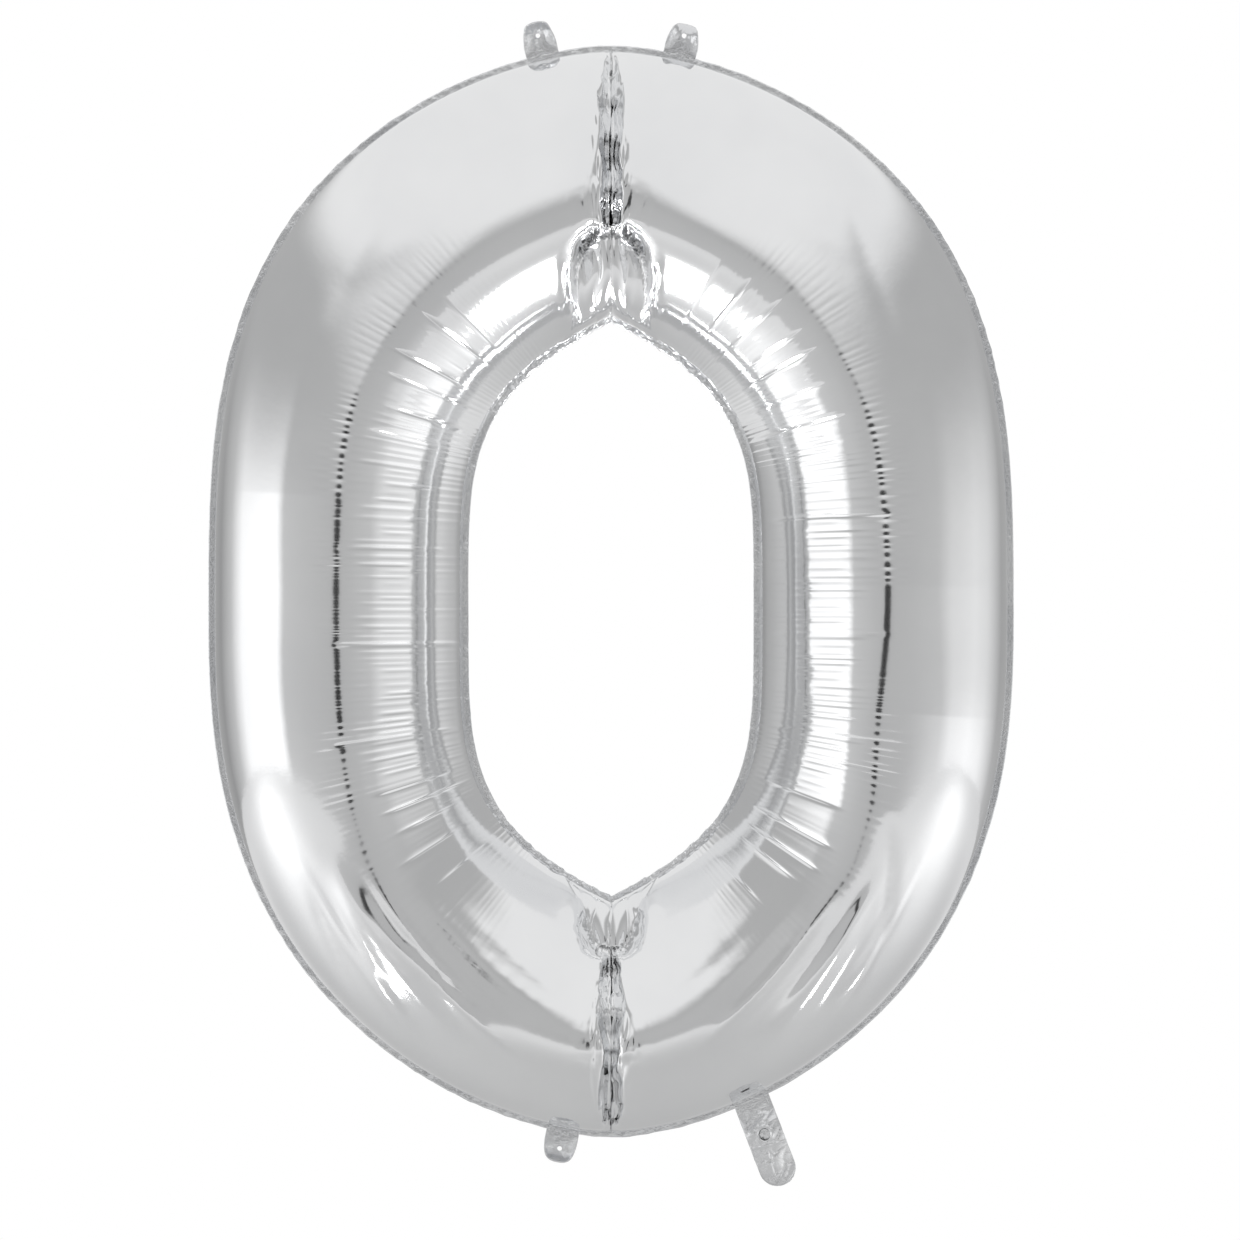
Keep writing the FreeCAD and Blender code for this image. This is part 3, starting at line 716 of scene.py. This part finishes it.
def tongue_edge(half, straight, count, root):
    """A tongue's outline as (across, along), from the left of its root round its tip and back to the left."""
    turn = np.linspace(math.pi, 0, 60)
    line = np.concatenate(
        [
            [[-half, root]],
            np.stack([half * np.cos(turn), straight + half * np.sin(turn)], 1),
            [[half, root], [-half, root]],
        ]
    )
    return divided(line, count + 1)[:-1]


def tongue_grid(half, straight, root, centre, hole, count=150, rings=22):
    """A tongue as rings of points from the edge of its round hole (or from a point) out to its outline."""
    outline = tongue_edge(half, straight, count, root)
    off = outline - (0, centre)
    way = off / np.linalg.norm(off, axis=1)[:, None]
    inner = (0, centre) + way * hole
    share = np.linspace(0, 1, rings)[None, :, None]
    return inner[:, None] * (1 - share) + outline[:, None] * share


def joint_of(name):
    """A joint's place and axis."""
    joint = next(j for j in frame["joints"] if j["name"] == name)
    return np.array(joint["pos_m"]), np.array(joint["axis"])


def placed(local, height, origin, side_way, out_way):
    """Points of a flat piece (across, along) with their height to the front, put in the object's frame."""
    grid = origin + local[..., :1] * side_way + local[..., 1:] * out_way
    grid[..., 1] -= height
    return grid


def curled_tab(name, node_name, joint, length, width, seed, curl, lean):
    """A hanging tab that curls up across its width and leans over towards its tip."""
    origin, axis = joint_of(joint)
    out = np.array([-axis[2], 0, axis[0]]) * (1 if origin[2] > -0.4 else -1)
    half, straight = width / 2, length - width / 2
    local = tongue_grid(half, straight, -4.5 * MM, straight, 2 * MM)
    u, v = local[..., 0], local[..., 1]
    free = smooth(v, -1 * MM, 0.75 * length)
    bend = 1e-6 + curl * free / half
    across = np.sin(u * bend) / bend
    cup = (1 - np.cos(u * bend)) / bend
    places = np.stack([u, v, 0 * u], 2)
    rumple = crumple(places, 13 * MM, seed, 4) * 1.0 * MM + crumple(places, 6 * MM, seed + 1, 4) * 0.35 * MM
    past = np.clip(v - straight, 0, None)
    height = cup + rumple * free + lean * past**2 / half
    tip = v - 0.30 * np.abs(lean) * past**2 / half
    grid = placed(np.stack([across, tip], 2), height, origin, axis, out)
    made = shell(name, grid, 0.9 * MM, seal, around=True)
    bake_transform(made)
    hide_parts(node_name)


TAB_WIDTH = 26 * MM
for name, node_name, body, joint, length, seed, curl, lean in (
    ("left_tab_foil", "left_hanging_tab", "left_tab", "left_tab_fold", 27 * MM, 401, 1.15, 0.9),
    ("right_tab_foil", "right_hanging_tab", "right_tab", "right_tab_fold", 27 * MM, 411, 1.25, -0.8),
    ("foot_tab_foil", "foot_tab", "lower_tab", "foot_tab_fold", 25 * MM, 421, 0.95, 0.9),
):
    curled_tab(name, node_name, joint, length, TAB_WIDTH, seed, curl, lean)

NECK_WIDTH, NECK_LENGTH, NECK_ROOT = 29 * MM, 68 * MM, -4.5 * MM  # its root lies inside the seam
INLET, INLET_REACH = 4.5 * MM, 25 * MM  # radius of the filling hole, and how far it is from the fold
NECK_SEED = 431
neck_at, neck_axis = joint_of("neck_fold")
neck_out = np.array([neck_axis[2], 0, -neck_axis[0]])


def neck_form(u, v, seed):
    """The neck's crumples at points across and along it, how near its middle they are, and its twist."""
    places = np.stack([u, v, 0 * u], 2)
    rumple = crumple(places, 15 * MM, seed, 4) * 1.5 * MM + crumple(places, 7 * MM, seed + 1, 4) * 0.5 * MM
    middle = np.clip(1 - (u / (NECK_WIDTH / 2)) ** 2, 0, 1)
    twist = 2.2 * MM * np.sin(v / NECK_LENGTH * 5.2)
    twist = twist + 2.5 * MM * (u / NECK_WIDTH) * np.sin(v / NECK_LENGTH * 7)
    return rumple * smooth(v, 0, 12 * MM) * (0.25 + 0.75 * middle), middle, twist * smooth(v, 2 * MM, 25 * MM)


def neck_piece(name, node_name, front, hole, seed):
    """One ply of the neck; the front one has the filling hole with its rim, a crease and a slit."""
    straight = NECK_LENGTH - NECK_WIDTH / 2
    local = tongue_grid(NECK_WIDTH / 2 - 0.6 * MM, straight - 0.4 * MM, NECK_ROOT, INLET_REACH, hole, 220, 34)
    u, v = local[..., 0], local[..., 1]
    rumple, middle, twist = neck_form(u, v, seed)
    bulge = 1.6 * MM * middle**0.7 * smooth(v, 1 * MM, 16 * MM)
    off = np.hypot(u, v - INLET_REACH)
    if front:
        rim = 0.7 * MM * np.exp(-(((off - INLET - 1.6 * MM) / (1.0 * MM)) ** 2))
        line = 0.7 * MM * np.exp(-(((v - 34 * MM - 0.12 * u) / (0.8 * MM)) ** 2))
        slit = -0.9 * MM * np.exp(-(((u + 2 * MM + 0.1 * (v - 48 * MM)) / (0.9 * MM)) ** 2))
        marks = rim + line + slit * window(v, 40 * MM, 58 * MM, 2 * MM)
    else:
        marks = 0
    rumple = rumple * np.clip(off / (9 * MM), 0.2, 1)
    way = 1 if front else -1
    height = twist + way * (0.45 * MM + bulge + marks) + rumple
    grid = placed(local, height, neck_at, neck_axis, neck_out)
    made = shell(name, grid, 0.45 * MM, seal, around=True)
    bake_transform(made)
    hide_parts(node_name)


neck_piece("neck_front_foil", "neck_front_ply", True, INLET, NECK_SEED)
neck_piece("neck_rear_foil", "neck_rear_ply", False, 0.3 * MM, NECK_SEED)

# The sealed margin follows the outline but leaves out its last part, along the root, where the neck is open.
NECK_SEAL, OUTLINE_COUNT = 3 * MM, 500
ROOT_SHARE = 29 / (29 + 2 * 59 + 45)  # the root's length against its own, both sides' and the round tip's
edge = tongue_edge(NECK_WIDTH / 2, NECK_LENGTH - NECK_WIDTH / 2, OUTLINE_COUNT, NECK_ROOT)
inside = tongue_edge(NECK_WIDTH / 2 - NECK_SEAL, NECK_LENGTH - NECK_WIDTH / 2, OUTLINE_COUNT, NECK_ROOT)
kept = slice(0, OUTLINE_COUNT - int(OUTLINE_COUNT * ROOT_SHARE))
share = np.linspace(0, 1, 6)[None, :, None]
margin = inside[kept, None] * (1 - share) + edge[kept, None] * share
margin_rumple, _, margin_twist = neck_form(margin[..., 0], margin[..., 1], NECK_SEED)
grid = placed(margin, margin_twist + margin_rumple, neck_at, neck_axis, neck_out)
neck_seal = shell("neck_seal", grid, 1.5 * MM, seal)
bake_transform(neck_seal)
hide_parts("neck_edge_seal")

# ---------------------------------------------------------------- self-sealing valve, inside the film

VALVE_WIDTH, VALVE_LENGTH, VALVE_WELD = 22 * MM, 100 * MM, 1.5 * MM
valve_at, valve_axis = joint_of("valve_sway")
valve_in = np.array([-neck_out[0], 0, -neck_out[2]])
clear = clear_film("valve_film")


def valve_strip(name, node_name, body, across, low, high, y, thickness, seed, ripple):
    """A thin rippled strip of clear film, low to high along the valve and between two places across it."""
    rows, columns = 120, 12
    v = np.linspace(low, high, rows)[:, None] + np.zeros((1, columns))
    u = np.linspace(*across, columns)[None] + np.zeros((rows, 1))
    places = np.stack([u, v, 0 * u], 2)
    wavy = ripple * crumple(places, 17 * MM, seed, 4) * smooth(v - low, 0, 10 * MM)
    grid = placed(np.stack([u, v], 2), wavy - y, valve_at, valve_axis, valve_in)
    made = shell(name, grid, thickness, clear)
    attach(made, body)
    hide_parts(node_name)


def sleeve_strip(name, node_name, across, y, thickness):
    """A strip of the sleeve's whole length; all of them ripple alike."""
    valve_strip(name, node_name, "valve_sleeve", across, 0.0, VALVE_LENGTH, y, thickness, 501, 0.5 * MM)


NEAR, FAR = -VALVE_WIDTH / 2, VALVE_WIDTH / 2
sleeve_strip("sleeve_front", "valve_front_ply", (NEAR, FAR), -0.35 * MM, 0.35 * MM)
sleeve_strip("sleeve_rear", "valve_rear_ply", (NEAR, FAR), 0.35 * MM, 0.35 * MM)
valve_strip("throat", "valve_throat", "envelope", (NEAR, FAR), -8 * MM, -3 * MM, 0.0, 0.4 * MM, 505, 0.1 * MM)
sleeve_strip("sleeve_near_weld", "valve_side_welds", (NEAR, NEAR + VALVE_WELD), 0.0, 0.5 * MM)
sleeve_strip("sleeve_far_weld", "valve_side_welds", (FAR - VALVE_WELD, FAR), 0.0, 0.5 * MM)

# ---------------------------------------------------------------- studio

scene = bpy.context.scene
world = bpy.data.worlds.new("studio")
scene.world = world
world.use_nodes = True


# Brightness round the room at eye level, by degrees from the front; the right is positive.
ROOM = (
    (-180, 0.62), (-160, 0.42), (-135, 0.34), (-112, 0.60), (-95, 1.15), (-60, 1.30),
    (-54, 1.25), (-48, 0.62), (-30, 0.56), (0, 0.49), (25, 0.52), (50, 0.57),
    (62, 0.76), (88, 0.86), (106, 0.78), (135, 0.40), (160, 0.42), (180, 0.62),
)
# Brightness elsewhere: the panel overhead, the wall above eye level, what lies below, the dark lens in front,
# the light on matt surfaces and the backdrop that the camera sees.
PANEL, HIGH_WALL, BELOW, LENS, ON_MATT, BACKDROP = 0.87, 0.46, 0.55, 0.03, 1.25, 1.0
LENS_WIDE, LENS_TALL = 0.064, 0.112
LOWER_RIGHT_GAIN = 0.35  # the room is brighter by this much low on the right


def studio_light(tree):
    """Studio light by direction: tall soft boxes left and right, a panel overhead, a grey room in front."""
    nodes, links = tree.nodes, tree.links
    nodes.clear()

    def math_of(kind, *inputs):
        made = nodes.new("ShaderNodeMath")
        made.operation = kind
        for socket, value in zip(made.inputs, inputs):
            if isinstance(value, (int, float)):
                socket.default_value = value
            else:
                links.new(value, socket)
        return made.outputs[0]

    def step(value, low, high):
        made = nodes.new("ShaderNodeMapRange")
        made.interpolation_type = "SMOOTHSTEP"
        made.inputs["From Min"].default_value, made.inputs["From Max"].default_value = low, high
        links.new(value, made.inputs["Value"])
        return made.outputs["Result"]

    def mixed(share, first, second):
        made = nodes.new("ShaderNodeMix")
        links.new(share, made.inputs["Factor"])
        for socket, value in ((made.inputs["A"], first), (made.inputs["B"], second)):
            if isinstance(value, float):
                socket.default_value = value
            else:
                links.new(value, socket)
        return made.outputs["Result"]

    def round_the_room(turn, levels):
        made = nodes.new("ShaderNodeValToRGB")
        elements = made.color_ramp.elements
        elements[0].position, elements[0].color = 0, (*[levels[0][1]] * 3, 1)
        elements[1].position, elements[1].color = 1, (*[levels[-1][1]] * 3, 1)
        for degrees, grey in levels[1:-1]:
            elements.new(0.5 + degrees / 360).color = (*[grey] * 3, 1)
        links.new(turn, made.inputs["Fac"])
        return made.outputs["Color"]

    split = nodes.new("ShaderNodeSeparateXYZ")
    links.new(nodes.new("ShaderNodeTexCoord").outputs["Generated"], split.inputs[0])
    x, y, z = split.outputs
    about = math_of("ARCTAN2", x, math_of("MULTIPLY", y, -1.0))  # 0 towards the front, positive to the right
    turn = math_of("ADD", math_of("MULTIPLY", about, 0.5 / math.pi), 0.5)
    sideways = math_of("ABSOLUTE", x)
    level = round_the_room(turn, ROOM)
    level = mixed(step(z, -0.02, 0.36), level, HIGH_WALL)
    panel_edge = math_of("SUBTRACT", z, math_of("MULTIPLY", sideways, 0.62))
    level = mixed(step(panel_edge, 0.06, 0.27), level, PANEL)
    lower_right = math_of("MULTIPLY", step(math_of("MULTIPLY", z, -1.0), 0.02, 0.2), step(x, 0.3, 0.8))
    gain = math_of("ADD", 1.0, math_of("MULTIPLY", lower_right, LOWER_RIGHT_GAIN))
    level = math_of("MULTIPLY", level, gain)
    level = mixed(step(z, -0.60, -0.25), BELOW, level)
    wide = math_of("POWER", math_of("DIVIDE", sideways, LENS_WIDE), 2.0)
    tall = math_of("POWER", math_of("DIVIDE", z, LENS_TALL), 2.0)
    off_lens = math_of("ADD", wide, tall)
    behind = step(y, -0.5, 0.0)
    level = mixed(math_of("MAXIMUM", step(off_lens, 0.75, 1.5), behind), LENS, level)
    path = nodes.new("ShaderNodeLightPath")
    level = mixed(path.outputs["Is Diffuse Ray"], level, ON_MATT)
    level = mixed(path.outputs["Is Camera Ray"], level, BACKDROP)
    room = nodes.new("ShaderNodeBackground")
    links.new(level, room.inputs["Color"])
    links.new(room.outputs[0], nodes.new("ShaderNodeOutputWorld").inputs["Surface"])


studio_light(world.node_tree)

# The floor lies well below the object, and its colour is darker straight under it: a painted shadow pool,
# grey in the middle and paler towards the rim.
FLOOR = CAD_LOW.z - 0.55
FLOOR_RADIUS, FLOOR_CORNERS = 4.2, 96
# Greys of the painted shadow pool on the floor, from its dark middle out to its paler rim.
FLOOR_SHADOW_TONES = ((0.20, 0.40), (0.80, 0.62))  # share of the radius, grey
floor_material, floor_tree, floor_shader = new_material("floor_painted_shadow")
place = node(floor_tree, "ShaderNodeTexCoord")
away = node(floor_tree, "ShaderNodeVectorMath", operation="LENGTH")
# This ramp paints the shadow pool into the floor's colour, by distance from the middle under the object.
painted_shadow_ramp = node(floor_tree, "ShaderNodeValToRGB")
painted_shadow_ramp.color_ramp.interpolation = "EASE"
for element, (position, grey) in zip(painted_shadow_ramp.color_ramp.elements, FLOOR_SHADOW_TONES):
    element.position, element.color = position, (grey, grey, grey, 1)
shrink = node(floor_tree, "ShaderNodeMapping")
shrink.inputs["Scale"].default_value = (1 / FLOOR_RADIUS, 1 / FLOOR_RADIUS, 0)
floor_tree.links.new(place.outputs["Object"], shrink.inputs["Vector"])
floor_tree.links.new(shrink.outputs["Vector"], away.inputs[0])
floor_tree.links.new(away.outputs["Value"], painted_shadow_ramp.inputs["Fac"])
floor_tree.links.new(painted_shadow_ramp.outputs["Color"], floor_shader.inputs["Base Color"])
floor_shader.inputs["Roughness"].default_value = 0.9
floor_shader.inputs["Specular IOR Level"].default_value = 0.0
angle = np.linspace(0, 2 * math.pi, FLOOR_CORNERS + 1)[:-1]
disc = np.stack([np.cos(angle) * FLOOR_RADIUS, np.sin(angle) * FLOOR_RADIUS, 0 * angle + FLOOR], 1)
floor = mesh_object("floor", disc, [range(FLOOR_CORNERS)], floor_material)


def area_light(name, place, target, size, power, spread=180):
    """A rectangular light that shines from its place to a target, and that the camera doesn't see."""
    data = bpy.data.lights.new(name, "AREA")
    data.shape = "RECTANGLE"
    data.size, data.size_y = size
    data.energy = power
    data.spread = math.radians(spread)
    made = bpy.data.objects.new(name, data)
    scene.collection.objects.link(made)
    made.location = place
    made.rotation_euler = (Vector(target) - Vector(place)).to_track_quat("-Z", "Y").to_euler()
    made.visible_camera = False
    return made


# Narrow soft boxes below, with grids, that light only the underside of the upper arch.
for number, x in enumerate((-0.42, 0.42)):
    place, target = (x, -0.58, -0.99), (-0.3 * x, -0.13, -0.2)
    area_light(f"low_soft_box_{number}", place, target, size=(0.42, 0.36), power=0.42, spread=30)

# Two wide boxes that wash the floor with light, to the left and right; the foil doesn't mirror them.
for name, x, power in (("left_wash", -2.3, 25), ("right_wash", 2.3, 20)):
    wash = area_light(name, (x, -0.45, FLOOR + 0.9), (x, -0.45, FLOOR), size=(2.6, 1.3), power=power)
    wash.visible_glossy = False

# ---------------------------------------------------------------- camera

FRAME_WIDTH = 975.88 * MM  # what the square picture spans at the seam's plane
ASIDE, BELOW_TOP = 7.083 * MM, 452.525 * MM  # the camera's place from the figure's middle and from its top
DISTANCE, SENSOR = 4.4, 36
camera_data = bpy.data.cameras.new("camera")
camera_data.sensor_width = SENSOR
camera_data.lens = SENSOR * DISTANCE / FRAME_WIDTH
camera = bpy.data.objects.new("camera", camera_data)
camera.location = (ASIDE, -DISTANCE, TOP - BELOW_TOP)
camera.rotation_euler = (math.pi / 2, 0, 0)
scene.collection.objects.link(camera)
scene.camera = camera
scene.view_settings.view_transform = "Standard"
